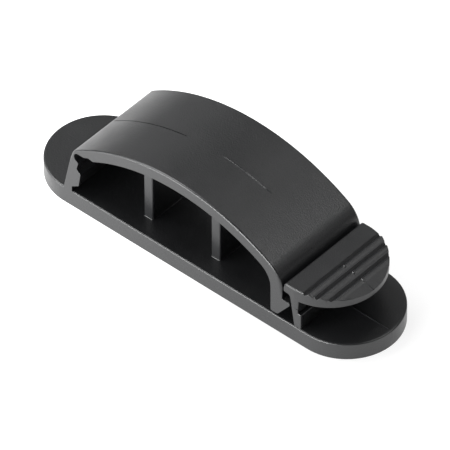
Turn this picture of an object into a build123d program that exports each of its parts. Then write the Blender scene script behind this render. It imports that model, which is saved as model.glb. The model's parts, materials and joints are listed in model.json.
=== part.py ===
from build123d import *
import math
import os

os.makedirs("parts", exist_ok=True)

# A one-piece moulded cable clip. The origin is the middle of the base's underside, +Z is up and +X is the latch end.

# Base bar: flat, with full-round ends.
clip_length = 66.0
clip_width = 17.8
base_thickness = 3.0
base_round = 0.2
foot_round = 0.06

# Arched strap: a circular arc seen from the front, as wide as the base.
strap_top = 17.95
strap_radius = 35.2
strap_middle_x = -1.5
strap_thickness = 1.96

# Hinge wall: leans in towards the strap, and is necked at its foot and stepped at its top.
# The shares are of its height from the base to the foot of the hinge's relief.
wall_foot_x = -23.95
wall_lean = 12.5
neck_thickness = 1.4
neck_share = 0.15
block_thickness = 2.4
block_foot_thickness = 2.55
block_bottom_share = 0.278
block_top_share = 0.669
upper_thickness = 1.5
upper_share = 0.774

# Living hinge: the thin web that a round relief leaves at the wall's outer top corner.
hinge_web = 0.55
relief_radius = 0.85
relief_drop = 0.78

# Hinge end of the strap: its underside is thinned, and ends in a small lip over the relief.
lip_length = 1.05
recess_length = 0.95
recess_rise = 0.45
toe_length = 0.9
hinge_round = 1.6

# Leg and hook at the strap's free end. The shares are of the height over the base at which the leg meets the strap.
leg_inner_x = 16.97
leg_thickness = 2.25
leg_floor_gap = 0.5
shoulder_round_share = 0.6334
armpit_round_share = 0.4749
hook_share = 0.494
hook_reach = 1.45
hook_tip_height = 0.5
hook_sole = 1.35
sole_round = 0.6
tip_round = 0.25

# Latch wall, its nose over the hook, and the step on its outer face.
latch_gap = 0.2
nose_height = 1.6
nose_length = 1.2
latch_thickness = 1.5
latch_taper = 1.15
latch_step_share = 0.3407
latch_step = 0.6
nose_round = 0.5
nose_fillet = 0.6
step_round = 0.25

# Thumb tab: half-round in plan, a little narrower than the base, flat beside the strap and grooved towards its tip.
# Its reach is a share of half the clip's width.
tab_margin = 0.17
tab_share = 0.8954
tab_thickness = 2.2
tab_reach_share = 0.835
tab_flat = 3.38
tab_slope = 8.0
tab_round = 0.35

# Grip grooves across the tab: each has a steep side, and a curved side that rises to the next land.
# The shares are of the pitch.
grip_pitch = 1.76
grip_depth = 0.26
grip_fall_share = 0.17
grip_rise_share = 0.54
grip_count = 3
grip_bend_share = 0.824
grip_bend_slope = 15.0

# Dividers that stand on the base between the cable channels.
divider_middles = (-9.9, 3.4)
divider_thickness = 1.8
divider_setback = 3.2
divider_clearance = 0.65
divider_round = 0.3
divider_foot = 0.25

# Small breaks on the moulding's edges.
edge_break = 0.12
corner_round = 0.3
near = 0.01

half_width = clip_width / 2
tab_half_width = half_width - tab_margin
strap_middle_z = strap_top - strap_radius
lean = math.tan(math.radians(wall_lean))
lean_stretch = 1 / math.cos(math.radians(wall_lean))


def strap_height(x, depth=0.0):
    """Height of the strap's arc at x, at a depth below its outer face."""
    return strap_middle_z + math.sqrt((strap_radius - depth) ** 2 - (x - strap_middle_x) ** 2)


def wall_x(z, thickness=0.0):
    """Place of the leaning wall's outer face at height z, or of a face at a thickness inside it."""
    return wall_foot_x + (z - base_thickness) * lean + thickness * lean_stretch


def hinge_corner():
    """Where the wall's outer face meets the strap's outer arc."""
    offset = wall_x(0) - strap_middle_x
    a = 1 + lean**2
    b = offset * lean - strap_middle_z
    c = offset**2 + strap_middle_z**2 - strap_radius**2
    z = (math.sqrt(b**2 - a * c) - b) / a
    return (wall_x(z), z)


def rounded(face, corners):
    """The face with each listed corner rounded."""
    for (x, z), radius in corners:
        nearest = face.vertices().sort_by_distance((x, z, 0))[0]
        face = fillet([nearest], radius)
    return face


def across(face, reach=half_width):
    """A front outline, drawn in X and Z, carried to the same reach on both sides of the middle."""
    return extrude(Plane.XZ * face, amount=reach, both=True)


relief_height = hinge_corner()[1] - relief_drop
wall_rise = relief_height - relief_radius - base_thickness
neck_top = base_thickness + neck_share * wall_rise
block_bottom = base_thickness + block_bottom_share * wall_rise
block_top = base_thickness + block_top_share * wall_rise
upper_bottom = base_thickness + upper_share * wall_rise

leg_outer_x = leg_inner_x + leg_thickness
leg_rise = strap_height(leg_outer_x) - base_thickness
shoulder_round = shoulder_round_share * leg_rise
armpit_round = armpit_round_share * leg_rise
hook_top = base_thickness + hook_share * leg_rise
step_height = base_thickness + latch_step_share * leg_rise
tab_top = base_thickness + tab_share * leg_rise

hook_tip_x = leg_outer_x + hook_reach
leg_floor = base_thickness + leg_floor_gap
root = base_thickness / 3
nose_x = leg_outer_x + latch_gap
nose_bottom = tab_top - nose_height
latch_inner_x = nose_x + nose_length
latch_outer_x = latch_inner_x + latch_thickness
tab_tip_x = latch_outer_x + tab_reach_share * half_width
tab_bottom = tab_top - tab_thickness
tab_flat_x = nose_x + tab_flat


def base():
    """The bar that the clip is fixed by."""
    bar = extrude(SlotOverall(clip_length, clip_width), amount=base_thickness)
    ends = bar.faces().sort_by(Axis.Z)
    bar = fillet(ends[-1].edges(), base_round)
    return fillet(bar.faces().sort_by(Axis.Z)[0].edges(), foot_round)


def hoop():
    """Hinge wall, living hinge, strap, leg and hook, as one outline."""
    hinge = hinge_corner()
    shoulder = (leg_outer_x, strap_height(leg_outer_x))
    armpit = (leg_inner_x, strap_height(leg_inner_x, strap_thickness))
    relief_left = wall_x(relief_height, hinge_web)
    relief_x = relief_left + relief_radius
    relief_top = (relief_x, relief_height + relief_radius)
    relief_foot = (relief_x, relief_height - relief_radius)
    lip = (relief_x + lip_length, relief_top[1])
    recess = (lip[0] + recess_length, relief_top[1] + recess_rise)
    toe_x = recess[0] + toe_length
    toe = (toe_x, strap_height(toe_x, strap_thickness))
    hook_point = (hook_tip_x, hook_top - hook_tip_height)
    sole = (leg_inner_x + hook_sole, leg_floor)
    heel = (leg_inner_x, leg_floor)
    upper_foot = (wall_x(upper_bottom, upper_thickness), upper_bottom)
    block_head = (wall_x(block_top, block_thickness), block_top)
    block_foot = (wall_x(block_bottom, block_foot_thickness), block_bottom)
    neck_head = (wall_x(neck_top, neck_thickness), neck_top)
    with BuildLine() as outline:
        Line((wall_x(root), root), hinge)
        ThreePointArc(hinge, (strap_middle_x, strap_top), shoulder)
        Polyline(shoulder, (leg_outer_x, hook_top), (hook_tip_x, hook_top), hook_point, sole, heel, armpit)
        ThreePointArc(armpit, (strap_middle_x, strap_top - strap_thickness), toe)
        Polyline(toe, recess, lip, relief_top)
        ThreePointArc(relief_top, (relief_left, relief_height), relief_foot)
        Polyline(relief_foot, upper_foot, block_head, block_foot, neck_head, (neck_head[0], root), (wall_x(root), root))
    face = make_face(outline.line)
    face = rounded(
        face,
        [
            (hinge, hinge_round),
            (shoulder, shoulder_round),
            (armpit, armpit_round),
            ((leg_outer_x, hook_top), corner_round),
            ((hook_tip_x, hook_top), tip_round),
            (hook_point, tip_round),
            (sole, sole_round),
            (heel, corner_round),
            (toe, corner_round),
            (recess, corner_round),
            (lip, corner_round),
            (relief_foot, corner_round),
            (upper_foot, corner_round),
            (block_head, corner_round),
            (block_foot, corner_round),
            (neck_head, corner_round),
        ],
    )
    solid = across(face)
    ends = solid.faces().filter_by(Axis.Y).edges()
    return chamfer(ends, edge_break)


def tab_height(x, depth=0.0):
    """Height of the tab's top at x, at a depth below its lands."""
    return tab_top - (x - tab_flat_x) * math.tan(math.radians(tab_slope)) - depth


def grips():
    """The space above the tab's grooved top."""
    fall = grip_fall_share * grip_pitch
    rise = grip_rise_share * grip_pitch
    end_x = tab_tip_x + tab_thickness
    slope = math.radians(tab_slope)
    uphill = (-math.cos(slope), math.sin(slope))
    at = (tab_flat_x, tab_top)
    with BuildLine() as outline:
        for number in range(grip_count):
            bottom_x = tab_flat_x + fall + number * grip_pitch
            bottom = (bottom_x, tab_height(bottom_x, grip_depth))
            land = (bottom_x + rise, tab_height(bottom_x + rise))
            if number:
                edge = (bottom_x - fall, tab_height(bottom_x - fall))
                Line(at, edge)
                at = edge
            Line(at, bottom)
            TangentArc(land, bottom, tangent=uphill)
            at = land
        bend_x = bottom_x + grip_bend_share * grip_pitch
        bend = (bend_x, tab_height(bend_x))
        end = (end_x, bend[1] - (end_x - bend_x) * math.tan(math.radians(grip_bend_slope)))
        Polyline(at, bend, end, (end_x, strap_top), (tab_flat_x, strap_top), (tab_flat_x, tab_top))
    return across(make_face(outline.line))


def latch():
    """Nose, latch wall and thumb tab."""
    foot_x = latch_inner_x + latch_taper
    step_x = latch_outer_x + latch_step
    corners = [
        (nose_x, tab_top),
        (tab_flat_x, tab_top),
        (tab_tip_x, tab_height(tab_tip_x)),
        (tab_tip_x, tab_bottom),
        (latch_outer_x, tab_bottom),
        (latch_outer_x, step_height),
        (step_x, step_height),
        (step_x, root),
        (foot_x, root),
        (latch_inner_x, nose_bottom),
        (nose_x, nose_bottom),
    ]
    face = make_face(Polyline(corners, close=True))
    face = rounded(
        face,
        [
            ((nose_x, tab_top), nose_round),
            ((nose_x, nose_bottom), corner_round),
            ((latch_inner_x, nose_bottom), nose_fillet),
            ((step_x, step_height), step_round),
        ],
    )
    bend = (latch_outer_x, tab_half_width)
    with BuildLine() as plan:
        Polyline((bend[0], -bend[1]), (leg_inner_x, -bend[1]), (leg_inner_x, bend[1]), bend)
        ThreePointArc(bend, (tab_tip_x, 0), (bend[0], -bend[1]))
    lobe = Pos(0, 0, step_height) * extrude(make_face(plan.line), amount=strap_top)
    wall = Pos(step_x, 0, 0) * Box(
        step_x - leg_inner_x,
        2 * tab_half_width,
        step_height,
        align=(Align.MAX, Align.CENTER, Align.MIN),
    )
    solid = across(face, tab_half_width) & (lobe + wall)

    def upright(edge):
        return abs(edge.tangent_at(0.5).Z) > 1 - near

    rim = [
        edge
        for edge in solid.edges()
        if edge.center().Z > tab_bottom + tab_thickness / 2
        and edge.center().X > (nose_x + latch_inner_x) / 2
        and abs(edge.center().Y) > tab_half_width / 4
        and not upright(edge)
    ]
    solid = fillet(rim, tab_round)
    low_rim = [
        edge
        for edge in solid.edges()
        if abs(edge.center().Z - tab_bottom) < near and edge.center().X > step_x
    ]
    solid = fillet(low_rim, corner_round)
    sides = [
        edge
        for edge in solid.edges()
        if abs(abs(edge.center().Y) - tab_half_width) < near
        and edge.center().Z > root
        and (edge.center().X < nose_x + nose_round or edge.center().Z < tab_top - nose_round)
        and not (upright(edge) and edge.center().Z > step_height and edge.center().X > latch_inner_x)
    ]
    return chamfer(sides, edge_break) - grips()


def divider(middle):
    """Upright wall that stops just below the strap."""
    left = middle - divider_thickness / 2
    right = middle + divider_thickness / 2
    tops = [(x, strap_height(x, strap_thickness + divider_clearance)) for x in (right, middle, left)]
    with BuildLine() as outline:
        Polyline(tops[2], (left, root), (right, root), tops[0])
        ThreePointArc(*tops)
    face = Plane.XZ * make_face(outline.line)
    solid = extrude(face, amount=half_width - divider_setback, both=True)
    return fillet(solid.edges().filter_by(Axis.Z), divider_round)


bar = base()
for middle in divider_middles:
    bar = bar + divider(middle)
feet = [
    edge
    for edge in bar.edges()
    if abs(edge.center().Z - base_thickness) < near and abs(edge.center().Y) < half_width - divider_setback + near
    and abs(edge.center().X) < leg_inner_x
]
clip = chamfer(feet, divider_foot) + hoop() + latch()
export_step(clip, "parts/clip.step")
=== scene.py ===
import json
import math

import bmesh
import bpy
from mathutils import Matrix, Vector

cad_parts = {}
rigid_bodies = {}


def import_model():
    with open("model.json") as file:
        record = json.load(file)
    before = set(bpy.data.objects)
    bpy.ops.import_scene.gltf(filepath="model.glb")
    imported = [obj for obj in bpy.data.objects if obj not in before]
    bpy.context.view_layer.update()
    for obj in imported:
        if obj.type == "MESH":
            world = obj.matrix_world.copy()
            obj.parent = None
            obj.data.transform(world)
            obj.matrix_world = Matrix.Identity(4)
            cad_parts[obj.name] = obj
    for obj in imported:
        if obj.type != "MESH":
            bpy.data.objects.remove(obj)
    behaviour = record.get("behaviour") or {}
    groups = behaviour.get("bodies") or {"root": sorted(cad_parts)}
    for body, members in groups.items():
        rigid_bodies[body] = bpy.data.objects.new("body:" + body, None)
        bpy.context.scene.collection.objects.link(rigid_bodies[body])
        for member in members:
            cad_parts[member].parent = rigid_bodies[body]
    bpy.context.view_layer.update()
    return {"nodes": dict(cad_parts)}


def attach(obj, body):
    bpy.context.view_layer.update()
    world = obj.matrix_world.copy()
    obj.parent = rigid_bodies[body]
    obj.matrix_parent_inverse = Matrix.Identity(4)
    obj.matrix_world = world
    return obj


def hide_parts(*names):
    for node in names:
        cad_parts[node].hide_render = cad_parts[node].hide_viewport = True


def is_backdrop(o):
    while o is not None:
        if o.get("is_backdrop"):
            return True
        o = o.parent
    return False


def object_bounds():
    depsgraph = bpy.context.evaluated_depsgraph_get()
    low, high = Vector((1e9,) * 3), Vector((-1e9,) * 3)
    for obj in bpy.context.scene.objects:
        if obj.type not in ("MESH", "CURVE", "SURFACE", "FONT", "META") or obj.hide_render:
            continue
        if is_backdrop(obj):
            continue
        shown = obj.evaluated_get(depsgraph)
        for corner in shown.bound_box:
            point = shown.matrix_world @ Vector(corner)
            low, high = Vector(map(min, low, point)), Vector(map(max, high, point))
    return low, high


for spare in list(bpy.data.objects):
    bpy.data.objects.remove(spare)
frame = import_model()
print("frame loaded, with nodes", sorted(frame["nodes"]))

# Everything is drawn in millimetres and made metres at the end.

millimetre = 0.001
drawing = {
    "arcAngle": 15,  # the longest step of an arc, in degrees
    "arcLength": 0.7,  # and in millimetres
    "weld": 0.004,
    "near": 0.01,  # places closer than this are taken as one
    "facingUp": 0.5,  # a face looks up if its normal rises more than this
}
near = drawing["near"]


def deselectAll():
    if bpy.context.mode != "OBJECT":
        bpy.ops.object.mode_set(mode="OBJECT")
    bpy.ops.object.select_all(action="DESELECT")


def selectOnly(piece):
    deselectAll()
    piece.select_set(True)
    bpy.context.view_layer.objects.active = piece


def editOnly(piece):
    selectOnly(piece)
    bpy.ops.object.mode_set(mode="EDIT")


def pick(piece, kind, wanted):  # selects the vertices, edges or faces that wanted(part) is true for, and counts them
    bpy.ops.mesh.select_mode(type=kind)
    bpy.ops.mesh.select_all(action="DESELECT")
    mesh = bmesh.from_edit_mesh(piece.data)
    mesh.normal_update()
    parts = {"VERT": mesh.verts, "EDGE": mesh.edges, "FACE": mesh.faces}[kind]
    chosen = [part for part in parts if wanted(part)]
    for part in chosen:
        part.select_set(True)
    mesh.select_flush_mode()
    bmesh.update_edit_mesh(piece.data)
    return len(chosen)


def bevelEdges(piece, wanted, size, steps, **settings):  # rounds the edges that wanted(edge) is true for
    editOnly(piece)
    count = pick(piece, "EDGE", wanted)
    bpy.ops.mesh.bevel(offset=size, segments=steps, affect="EDGES", **settings)
    deselectAll()
    print(piece.name, "rounded along", count, "edges")


def penStroke(place, at, to, centre, normal):  # a straight line from the selected vertex, or an arc round the centre
    if centre is None:
        step = place(*to) - place(*at)
        bpy.ops.mesh.extrude_vertices_move(TRANSFORM_OT_translate={"value": step})
        return
    middle = place(*centre)
    first = place(*at) - middle
    last = place(*to) - middle
    angle = first.angle(last)
    if first.cross(last).dot(normal) < 0:
        angle = -angle
    byAngle = abs(angle) / math.radians(drawing["arcAngle"])
    byLength = abs(angle) * first.length / drawing["arcLength"]
    bpy.ops.mesh.spin(steps=math.ceil(max(byAngle, byLength)), angle=-angle, center=middle, axis=normal)


def drawSolid(name, start, strokes, plane, low, high):  # an outline of lines and arcs, filled, then extruded
    normal = Vector((0, 1, 0) if plane == "front" else (0, 0, 1))

    def place(a, b):
        return Vector((a, low, b) if plane == "front" else (a, b, low))

    deselectAll()
    bpy.ops.mesh.primitive_plane_add(size=1, location=(0, 0, 0))
    piece = bpy.context.object
    piece.name = name
    bpy.ops.object.mode_set(mode="EDIT")
    bpy.ops.mesh.select_mode(type="VERT")
    bpy.ops.mesh.select_all(action="SELECT")
    bpy.ops.mesh.merge(type="CENTER")
    bpy.ops.transform.translate(value=place(*start))
    at = start
    for stroke in strokes:
        centre = stroke[2:4] if len(stroke) == 4 else None
        penStroke(place, at, stroke[:2], centre, normal)
        at = stroke[:2]
    bpy.ops.mesh.select_all(action="SELECT")
    bpy.ops.mesh.remove_doubles(threshold=drawing["weld"])
    bpy.ops.mesh.edge_face_add()
    bpy.ops.mesh.extrude_region_move(TRANSFORM_OT_translate={"value": normal * (high - low)})
    bpy.ops.mesh.select_all(action="SELECT")
    bpy.ops.mesh.normals_make_consistent(inside=False)
    bpy.ops.object.mode_set(mode="OBJECT")
    print(name, "drawn with", len(piece.data.vertices), "points")
    return piece


def applyModifier(piece, kind, **settings):
    selectOnly(piece)
    modifier = piece.modifiers.new(kind.lower(), kind)
    for key, value in settings.items():
        setattr(modifier, key, value)
    bpy.ops.object.modifier_apply(modifier=modifier.name)


def combine(piece, other, operation):
    applyModifier(piece, "BOOLEAN", object=other, operation=operation, solver="EXACT")
    bpy.data.objects.remove(other)
    print(operation.lower(), "leaves", piece.name, "with", len(piece.data.polygons), "faces")


# The base bar, a slot shape with rounded rims.

baseBar = {"half": 24.1, "radius": 8.9, "thickness": 3.0, "rimRound": 0.26, "lowShare": 0.25, "rimSteps": 4}

half, radius, top = baseBar["half"], baseBar["radius"], baseBar["thickness"]
outline = [
    (half + radius, 0, half, 0),
    (half, radius, half, 0),
    (-half, radius),
    (-half - radius, 0, -half, 0),
    (-half, -radius, -half, 0),
    (half, -radius),
]
bar = drawSolid("baseBar", (half, -radius), outline, "above", 0, top)
editOnly(bar)
pick(bar, "EDGE", lambda e: all(v.co.z > top / 2 for v in e.verts))
bpy.ops.transform.edge_bevelweight(value=1)
pick(bar, "EDGE", lambda e: all(v.co.z < top / 2 for v in e.verts))
bpy.ops.transform.edge_bevelweight(value=baseBar["lowShare"])
deselectAll()
applyModifier(bar, "BEVEL", width=baseBar["rimRound"], segments=baseBar["rimSteps"], limit_method="WEIGHT")

# The dividers, which stop short of the strap.

dividers = {
    "edges": [(-10.8, -9.0, 13.985, 14.465), (2.5, 4.3, 15.093, 14.819)],  # left, right, and the height at each
    "archCentre": (-1.5, -17.25),
    "halfDepth": 5.7,
    "root": 1.0,
    "cornerRound": 0.3,
    "footRound": 0.12,
    "steps": 4,
}


def cornerEdge(edge):
    return abs(edge.verts[0].co.z - edge.verts[1].co.z) > baseBar["thickness"]


def footEdge(edge):
    inside = all(abs(v.co.z - top) < near and abs(v.co.y) < halfDepth + near for v in edge.verts)
    return inside and any(abs(face.normal.z) < drawing["facingUp"] for face in edge.link_faces)


halfDepth, root = dividers["halfDepth"], dividers["root"]
for number, (left, right, leftTop, rightTop) in enumerate(dividers["edges"]):
    outline = [(left, leftTop), (right, rightTop, *dividers["archCentre"]), (right, root), (left, root)]
    wall = drawSolid("divider" + "AB"[number], (left, root), outline, "front", -halfDepth, halfDepth)
    bevelEdges(wall, cornerEdge, dividers["cornerRound"], dividers["steps"])
    combine(bar, wall, "UNION")
bevelEdges(bar, footEdge, dividers["footRound"], dividers["steps"])

# The hoop: hinge wall, living hinge, arched strap, leg and hook, in one outline seen from the front.

hoop = {
    "start": (-24.393, 1.0),
    "outline": [
        (-22.247, 10.681),  # outer face of the hinge wall
        (-21.599, 11.648, -20.685, 10.334),
        (16.712, 12.873, -1.5, -17.25),  # the strap's arch
        (19.22, 8.425, 14.023, 8.425),  # shoulder
        (19.22, 7.354),
        (19.52, 7.054, 19.52, 7.354),
        (20.42, 7.054),  # top of the hook
        (20.67, 6.804, 20.42, 6.804),
        (20.67, 6.639),
        (20.618, 6.486, 20.42, 6.639),
        (18.5, 3.734),  # its slanted sole
        (18.025, 3.5, 18.025, 4.1),
        (17.27, 3.5),
        (16.97, 3.8, 17.27, 3.8),
        (16.97, 8.218),  # inner face of the leg
        (15.009, 11.601, 13.073, 8.218),
        (-17.876, 11.676, -1.5, -17.25),  # underside of the strap
        (-18.083, 11.643, -18.024, 11.937),
        (-18.776, 11.783),  # thinned beside the hinge
        (-18.963, 11.76, -18.835, 11.489),
        (-19.762, 11.382),
        (-19.891, 11.353, -19.891, 11.653),
        (-20.873, 11.353),
        (-21.149, 9.699, -20.873, 10.503),  # relief behind the living hinge
        (-20.957, 9.338, -21.247, 9.415),
        (-21.225, 8.325),
        (-21.137, 8.027, -20.935, 8.248),
        (-20.625, 7.56),
        (-20.531, 7.29, -20.827, 7.338),
        (-20.906, 4.984),  # inner face of the wall's thick block
        (-21.044, 4.777, -21.202, 5.032),
        (-22.153, 4.086),
        (-22.295, 3.831, -21.995, 3.831),
        (-22.295, 1.0),
        (-24.393, 1.0),
    ],
    "topArcs": [  # centre, radius and lowest point: the strap's top, the hinge's arc and the shoulder
        (-1.5, -17.25, 35.2, 11.0),
        (-20.685, 10.334, 1.6, 10.6),
        (14.023, 8.425, 5.197, 8.4),
    ],
    "halfWidth": 8.9,
    "archRound": 0.36,
    "archSteps": 5,
    "archAngle": 40,  # sharper edges along the top are rounded
    "edgeRound": 0.1,
    "edgeSteps": 3,
    "edgeAngle": 50,
}

clip = drawSolid("clipMoulding", hoop["start"], hoop["outline"], "front", -hoop["halfWidth"], hoop["halfWidth"])


def depthUnder(arc, point):  # how far a point lies inside an arc
    x, z, radius = arc[:3]
    return radius - math.hypot(point.x - x, point.z - z)


def archDepth(point):  # how far a point lies under the strap's top
    return depthUnder(hoop["topArcs"][0], point)


def alongTop(point):  # on the strap's top, or on the arcs that lead down to the hinge wall and the leg
    return any(abs(depthUnder(arc, point)) < near and point.z > arc[3] for arc in hoop["topArcs"])


def topEdge(edge):
    return edge.calc_face_angle(0) > math.radians(hoop["archAngle"]) and all(alongTop(v.co) for v in edge.verts)


bevelEdges(clip, topEdge, hoop["archRound"], hoop["archSteps"], clamp_overlap=False)
editOnly(clip)
bpy.ops.mesh.select_all(action="SELECT")
bpy.ops.mesh.remove_doubles(threshold=near)
deselectAll()
applyModifier(
    clip,
    "BEVEL",
    width=hoop["edgeRound"],
    segments=hoop["edgeSteps"],
    limit_method="ANGLE",
    angle_limit=math.radians(hoop["edgeAngle"]),
)

# The latch: nose, wall and thumb tab. The tab is trimmed to its half-round plan, rounded and scalloped, and then
# gets its beads.

latch = {
    "start": (21.77, 1.0),
    "outline": [
        (22.72, 1.0),
        (22.72, 5.546),
        (22.47, 5.796, 22.47, 5.546),
        (22.12, 5.796),  # step on the outer face
        (22.12, 8.148),
        (29.53, 8.148),  # underside of the tab
        (29.53, 9.402),
        (22.8, 10.348),  # its sloping top
        (19.92, 10.348),
        (19.42, 9.848, 19.92, 9.848),  # nose
        (19.42, 9.048),
        (19.72, 8.748, 19.72, 9.048),
        (20.102, 8.748),
        (20.696, 8.236, 20.102, 8.148),
        (21.77, 1.0),
    ],
    "halfWidth": 8.73,
    "planCentre": 20.78,
    "planRadius": 8.75,
    "trimHeights": (6.5, 14.0),
    "trimReach": (36.0, 14.0),  # how far the trimming cutter goes beyond the tab, along the base and across it
    "rimRound": 0.22,
    "rimTilts": (0.05, 0.1),  # how far the normals of the faces beside such an edge rise, at most and at least
    "rimFrom": 9.3,
    "lowRound": 0.16,
    "lowTilts": (-0.9, -0.3),
    "lowBelow": 8.2,
    "steps": 4,
    "tabFrom": 22.1,  # the low rim starts beyond the wall's outer face
    "sideAngle": 35,
    "acrossFrom": 17.0,  # an edge longer than this across the tab isn't part of a rim
}
grooves = {
    "flatEnd": 22.8,
    "landTop": 10.348,
    "slope": 0.1405,
    "bottoms": (23.16, 24.87, 26.63),
    "depth": 0.34,
    "fall": 0.3,  # run of the steep side, towards the hinge
    "rise": 1.05,  # run of the gentle side, towards the tip
    "bendAt": 28.1,  # where the last land starts to fall away
    "bendSlope": 0.27,
    "end": 33.0,
    "clear": 14.0,
    "halfWidth": 14.0,
}


def trimToPlan(piece, radius):  # cuts a piece of the tab to a half-round of this radius
    x = latch["planCentre"]
    far, wide = latch["trimReach"]
    outline = [
        (x + radius, 0, x, 0),
        (x, radius, x, 0),
        (x, wide),
        (far, wide),
        (far, -wide),
        (x, -wide),
        (x, -radius),
    ]
    combine(piece, drawSolid("tabTrim", (x, -radius), outline, "above", *latch["trimHeights"]), "DIFFERENCE")


def acrossBy(edge):
    return abs(edge.verts[0].co.y - edge.verts[1].co.y)


def onRim(edge, tilts):  # with a face on either side that tilts as a rim's faces do
    rises = sorted(face.normal.z for face in edge.link_faces)
    return rises[0] < tilts[0] and rises[-1] > tilts[1] and acrossBy(edge) <= latch["acrossFrom"]


def topRim(edge):
    return onRim(edge, latch["rimTilts"]) and min(v.co.z for v in edge.verts) > latch["rimFrom"]


def lowRim(edge):  # round the tab's underside, and along the wall's front and back under it
    low = max(v.co.z for v in edge.verts) < latch["lowBelow"]
    side = edge.calc_face_angle(0) > math.radians(latch["sideAngle"]) and acrossBy(edge) < near
    return (onRim(edge, latch["lowTilts"]) or low and side) and min(v.co.x for v in edge.verts) > latch["tabFrom"]


tab = drawSolid("latch", latch["start"], latch["outline"], "front", -latch["halfWidth"], latch["halfWidth"])
trimToPlan(tab, latch["planRadius"])
bevelEdges(tab, lowRim, latch["lowRound"], latch["steps"])
bevelEdges(tab, topRim, latch["rimRound"], latch["steps"])


def landHeight(x):
    return grooves["landTop"] - grooves["slope"] * (x - grooves["flatEnd"])


# The cutter's underside: land, steep side, bottom, then an arc that meets the next land smoothly.

tilt = math.atan(grooves["slope"])
depth, fall, rise = grooves["depth"], grooves["fall"], grooves["rise"]
start = (grooves["flatEnd"], grooves["landTop"])
strokes = []
for x in grooves["bottoms"]:
    strokes.append((x - fall, landHeight(x - fall)))
    strokes.append((x, landHeight(x) - depth))
    radius = (rise**2 + depth**2) / (2 * depth)
    meet = x + rise
    centre = (meet - radius * math.sin(tilt), landHeight(meet) - radius * math.cos(tilt))
    strokes.append((meet, landHeight(meet), *centre))
endX = grooves["end"]
strokes += [
    (grooves["bendAt"], landHeight(grooves["bendAt"])),
    (endX, landHeight(grooves["bendAt"]) - grooves["bendSlope"] * (endX - grooves["bendAt"])),
    (endX, grooves["clear"]),
    (start[0], grooves["clear"]),
    start,
]
grips = drawSolid("gripCutter", start, strokes, "front", -grooves["halfWidth"], grooves["halfWidth"])
combine(tab, grips, "DIFFERENCE")

# A bead along each land's edge, which reaches the rim and stands a little over the land.

bead = {
    "foot": 0.06,  # this, the crest and the end are distances from the groove's bottom
    "crest": 0.52,
    "end": 1.3,
    "height": 0.13,  # of the crest over the land
    "sink": 0.1,  # of the end under the land
    "root": 0.4,  # how deep the bead reaches into the tab
    "fallPower": 1.6,  # a higher power makes its far side fall later
    "fallSteps": 4,
    "halfWidth": 9.0,
    "crestRound": 0.14,
    "crestSteps": 4,
    "endRound": 0.1,
    "endSteps": 3,
    "endTilts": (0.05, 0.3),  # as the latch's rimTilts
    "endsFrom": 9.0,
    "planRadii": (8.84, 8.84, 8.78),  # a little more than the tab's own
}


def crestEdge(edge):
    return all(abs(v.co.x - crest) < near and v.co.z > high[1] - near for v in edge.verts)


def endEdge(edge):  # between a bead's top and its end at the rim
    return onRim(edge, bead["endTilts"]) and edge.verts[0].co.z > bead["endsFrom"]


for number, bottom in enumerate(grooves["bottoms"]):
    foot, crest, end = bottom + bead["foot"], bottom + bead["crest"], bottom + bead["end"]
    low = (foot, landHeight(foot) - depth)
    high = (crest, landHeight(crest) + bead["height"])
    far = (end, landHeight(end) - bead["sink"])
    outline = [high]
    for step in range(1, bead["fallSteps"]):
        share = step / bead["fallSteps"]
        outline.append((crest + share * (end - crest), high[1] + share ** bead["fallPower"] * (far[1] - high[1])))
    outline += [far, (end, far[1] - bead["root"]), (foot, low[1] - bead["root"]), low]
    ridge = drawSolid("bead" + "ABC"[number], low, outline, "front", -bead["halfWidth"], bead["halfWidth"])
    bevelEdges(ridge, crestEdge, bead["crestRound"], bead["crestSteps"])
    trimToPlan(ridge, bead["planRadii"][number])
    bevelEdges(ridge, endEdge, bead["endRound"], bead["endSteps"])
    combine(tab, ridge, "UNION")

combine(clip, tab, "UNION")
combine(clip, bar, "UNION")

# The mould's parting line round the middle of the outside: a slot on the strap's left, and fine ridges elsewhere.

parting = {
    "middle": -0.2,
    "halfWidth": 0.13,
    "stretches": [  # from and to along the base, on the plate or not, and how far it stands up
        (-32.5, -24.9, True, -0.02),
        (-1.0, 4.5, False, 0.07),
        (4.5, 9.6, False, 0.14),
        (23.5, 24.0, False, 0.17),
        (25.2, 25.75, False, 0.17),
        (26.95, 27.55, False, 0.15),
        (28.4, 28.8, False, 0.09),
        (23.1, 32.5, True, 0.1),
    ],
    "cuts": (-32.4, -25.0, 23.2, 28.6, 32.4),
    "plateBelow": 3.2,  # lower points are on the base's plate
    "strapFrom": 11.0,  # and higher ones on the strap
    "skin": 0.05,  # how far under the arch a point still counts as on the strap's top
    "highest": 17.947,  # just inside the CAD's box
}
slot = {"from": -21.5, "to": -7.0, "halfWidth": 0.055, "wall": 0.01, "depth": 0.25}
middle = parting["middle"]


def onStretch(vertex, first, last, onPlate):
    x, y, z = vertex.co
    onLine = abs(y - middle) < near and first <= x < last
    onTop = vertex.normal.z > drawing["facingUp"] and (z < parting["plateBelow"]) == onPlate
    return onLine and onTop and (z < parting["strapFrom"] or archDepth(vertex.co) < parting["skin"])


def besideSlot(point, normal):
    onStrap = archDepth(point) < parting["skin"] and normal.z > drawing["facingUp"]
    return onStrap and slot["from"] < point.x < slot["to"]


def slotFloor(vertex):
    return abs(vertex.co.y - middle) < slot["halfWidth"] + slot["wall"] / 2 and besideSlot(vertex.co, vertex.normal)


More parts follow.
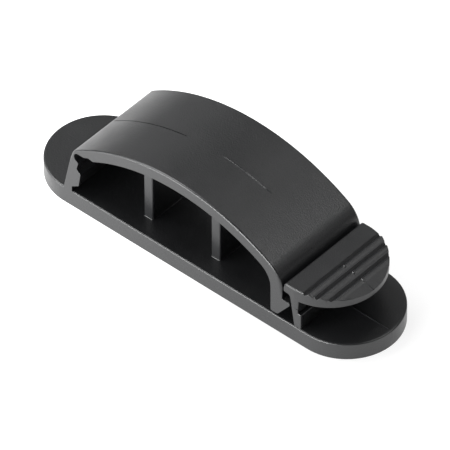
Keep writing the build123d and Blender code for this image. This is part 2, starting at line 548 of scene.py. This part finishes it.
editOnly(clip)
for offset in (-parting["halfWidth"], 0, parting["halfWidth"]):
    bpy.ops.mesh.select_all(action="SELECT")
    bpy.ops.mesh.bisect(plane_co=(0, middle + offset, 0), plane_no=(0, 1, 0))
for cut in parting["cuts"]:
    bpy.ops.mesh.select_all(action="SELECT")
    bpy.ops.mesh.bisect(plane_co=(cut, 0, 0), plane_no=(1, 0, 0))
for first, last, onPlate, rise in parting["stretches"]:
    pick(clip, "VERT", lambda v: onStretch(v, first, last, onPlate))
    bpy.ops.transform.shrink_fatten(value=rise)
inner, outer = slot["halfWidth"], slot["halfWidth"] + slot["wall"]
for offset in (-outer, -inner, inner, outer):
    pick(clip, "FACE", lambda f: besideSlot(f.calc_center_median(), f.normal))
    bpy.ops.mesh.bisect(plane_co=(0, middle + offset, 0), plane_no=(0, 1, 0))
pick(clip, "VERT", slotFloor)
bpy.ops.transform.translate(value=(0, 0, -slot["depth"]))
mesh = bmesh.from_edit_mesh(clip.data)
for vertex in mesh.verts:
    vertex.co.z = min(vertex.co.z, parting["highest"])
bmesh.update_edit_mesh(clip.data)
deselectAll()
print("parting line made")

# Made metres, and shaded smooth between the sharp edges.

shading = {"smoothAngle": 32, "weight": 80}

clip.scale = (millimetre,) * 3
selectOnly(clip)
bpy.ops.object.transform_apply(location=True, rotation=True, scale=True)
bpy.ops.object.shade_smooth_by_angle(angle=math.radians(shading["smoothAngle"]))
applyModifier(clip, "WEIGHTED_NORMAL", weight=shading["weight"], keep_sharp=True)

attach(clip, "root")
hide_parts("clip")
print("moulding finished with", len(clip.data.polygons), "faces")

# The plastic: black, with a fine spark-eroded grain.

plastic = {
    "colour": (0.0105, 0.011, 0.012, 1),
    "roughness": 0.35,
    "specular": 0.8,
    "grainSize": 0.00024,
    "grainDetail": 3,
    "grainDepth": 0.00003,
    "mottleSize": 0.004,
    "mottleDetail": 4,
    "mottleRange": (0.3, 0.7),
    "roughnessSpread": 0.04,
}


def newMaterial(name):
    material = bpy.data.materials.new(name)
    material.use_nodes = True
    nodes = material.node_tree.nodes
    nodes.clear()
    return material, nodes, material.node_tree.links


def addNode(nodes, kind, inputs=None):
    node = nodes.new("ShaderNode" + kind)
    for name, value in (inputs or {}).items():
        node.inputs[name].default_value = value
    return node


material, nodes, links = newMaterial("mattBlackPlastic")
output = addNode(nodes, "OutputMaterial")
shaderInputs = {
    "Base Color": plastic["colour"],
    "Roughness": plastic["roughness"],
    "Specular IOR Level": plastic["specular"],
}
shader = addNode(nodes, "BsdfPrincipled", shaderInputs)
links.new(shader.outputs["BSDF"], output.inputs["Surface"])
place = addNode(nodes, "TexCoord")
grain = addNode(nodes, "TexNoise", {"Scale": 1 / plastic["grainSize"], "Detail": plastic["grainDetail"]})
links.new(place.outputs["Object"], grain.inputs["Vector"])
bump = addNode(nodes, "Bump", {"Distance": plastic["grainDepth"], "Strength": 1})
links.new(grain.outputs["Fac"], bump.inputs["Height"])
links.new(bump.outputs["Normal"], shader.inputs["Normal"])
mottle = addNode(nodes, "TexNoise", {"Scale": 1 / plastic["mottleSize"], "Detail": plastic["mottleDetail"]})
links.new(place.outputs["Object"], mottle.inputs["Vector"])
spreadInputs = {
    "From Min": plastic["mottleRange"][0],
    "From Max": plastic["mottleRange"][1],
    "To Min": plastic["roughness"] - plastic["roughnessSpread"],
    "To Max": plastic["roughness"] + plastic["roughnessSpread"],
}
spread = addNode(nodes, "MapRange", spreadInputs)
links.new(mottle.outputs["Fac"], spread.inputs["Value"])
links.new(spread.outputs["Result"], shader.inputs["Roughness"])
clip.data.materials.clear()
clip.data.materials.append(material)
for node in frame["nodes"].values():
    node.data.materials.clear()
    node.data.materials.append(material)
print("plastic made")

# White paper floor. The camera, and the plastic's reflections, see it whiter than its own light makes it.

floorLook = {
    "size": 3.0,
    "gap": 0.00002,
    "tone": 0.85,
    "seenTone": 0.3,
    # painted light: a stronger glow on the key light's side paints a pool of its light on the floor
    "seenGlow": (1.6, 0.81),  # to the left of the clip, towards the key light, and to its right
    "glowEdge": (-0.04, 0.02),
}

deselectAll()
bpy.ops.mesh.primitive_plane_add(size=floorLook["size"], location=(0, 0, -floorLook["gap"]))
floor = bpy.context.object
floor.name = "floor"
floor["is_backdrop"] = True
paper, nodes, links = newMaterial("whitePaper")
output = addNode(nodes, "OutputMaterial")
lightPath = addNode(nodes, "LightPath")
plain = addNode(nodes, "BsdfDiffuse", {"Color": (floorLook["tone"],) * 3 + (1,)})
bright = addNode(nodes, "BsdfDiffuse", {"Color": (floorLook["seenTone"],) * 3 + (1,)})
glow = addNode(nodes, "Emission")
ground = addNode(nodes, "TexCoord")
split = addNode(nodes, "SeparateXYZ")
fadeInputs = {
    "From Min": floorLook["glowEdge"][0],
    "From Max": floorLook["glowEdge"][1],
    "To Min": floorLook["seenGlow"][0],
    "To Max": floorLook["seenGlow"][1],
}
# Painted light: the glow fades from the key light's side to the other, on the floor and in the plastic's
# reflections.
fade = addNode(nodes, "MapRange", fadeInputs)
fade.interpolation_type = "SMOOTHSTEP"
links.new(ground.outputs["Object"], split.inputs["Vector"])
links.new(split.outputs["X"], fade.inputs["Value"])
links.new(fade.outputs["Result"], glow.inputs["Strength"])
total = addNode(nodes, "AddShader")
links.new(bright.outputs["BSDF"], total.inputs[0])
links.new(glow.outputs["Emission"], total.inputs[1])
rays = [lightPath.outputs[kind] for kind in ("Is Camera Ray", "Is Glossy Ray", "Is Transmission Ray")]
seen = rays[0]
for ray in rays[1:]:
    either = addNode(nodes, "Math")
    either.operation = "MAXIMUM"
    links.new(seen, either.inputs[0])
    links.new(ray, either.inputs[1])
    seen = either.outputs["Value"]
mix = addNode(nodes, "MixShader")
links.new(seen, mix.inputs["Fac"])
links.new(plain.outputs["BSDF"], mix.inputs[1])
links.new(total.outputs["Shader"], mix.inputs[2])
links.new(mix.outputs["Shader"], output.inputs["Surface"])
floor.data.materials.append(paper)

# Studio light: low soft boxes along the front, high ones on the left and the right, and weak ones between.

lamps = {  # azimuth, elevation, width, height, power
    "lowLeft": (-60, 8, 0.5, 0.3, 2.0),
    "lowFront": (-30, 8, 0.5, 0.3, 8.0),
    "lowRight": (0, 8, 0.5, 0.3, 14.0),
    "front": (-32, 34, 0.5, 0.5, 1.6),
    "midLeft": (-64, 30, 0.4, 0.4, 2.4),
    "left": (-90, 55, 0.5, 0.5, 6.3),
    "highLeft": (-60, 55, 0.5, 0.5, 2.0),
    "behindLeft": (-124, 10, 0.5, 0.3, 0.08),
    "backLeft": (-122, 28, 0.5, 0.5, 0.5),
    "backHigh": (-135, 53, 0.9, 0.5, 0.55),
    "back": (174, 55, 0.7, 0.5, 1.0),
    "backRight": (120, 55, 0.5, 0.5, 2.8),
    "right": (120, 28, 0.5, 0.5, 0.45),
}
lampDistance = 1.2

for name, (azimuth, elevation, width, height, power) in lamps.items():
    deselectAll()
    a, e = math.radians(azimuth), math.radians(elevation)
    away = Vector((math.sin(a) * math.cos(e), -math.cos(a) * math.cos(e), math.sin(e)))
    bpy.ops.object.light_add(type="AREA", location=away * lampDistance)
    lamp = bpy.context.object
    lamp.name = name
    lamp.data.shape = "RECTANGLE"
    lamp.data.size = width
    lamp.data.size_y = height
    lamp.data.energy = power
    lamp.rotation_mode = "QUATERNION"
    lamp.rotation_quaternion = away.to_track_quat("Z", "Y")

world = bpy.data.worlds.new("studio")
bpy.context.scene.world = world
world.use_nodes = True
world.node_tree.nodes["Background"].inputs["Strength"].default_value = 0  # only the lamps give light

# Camera, far away behind a long lens.

view = {
    "azimuth": 41.66,
    "elevation": 43.663,
    "roll": -0.397,
    "distance": 1.48406,
    "across": 0.000161,
    "up": 0.002635,
    "lens": 799.984,
    "sensor": 36,
    "clipEnd": 10,
}

az, el, roll = (math.radians(view[key]) for key in ("azimuth", "elevation", "roll"))
ahead = Vector((-math.sin(az) * math.cos(el), math.cos(az) * math.cos(el), -math.sin(el)))
level = Vector((math.cos(az), math.sin(az), 0))
upright = level.cross(ahead)
right = math.cos(roll) * level + math.sin(roll) * upright
up = math.cos(roll) * upright - math.sin(roll) * level
deselectAll()
bpy.ops.object.camera_add(location=(0, 0, 0))
camera = bpy.context.object
turn = Matrix((right, up, -ahead)).transposed()
camera.rotation_mode = "QUATERNION"
camera.rotation_quaternion = turn.to_quaternion()
camera.location = right * view["across"] + up * view["up"] - ahead * view["distance"]
camera.data.sensor_width = view["sensor"]
camera.data.lens = view["lens"]
camera.data.clip_end = view["clipEnd"]
bpy.context.scene.camera = camera
bpy.context.scene.view_settings.view_transform = "Standard"
print("light and camera set")

low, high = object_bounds()
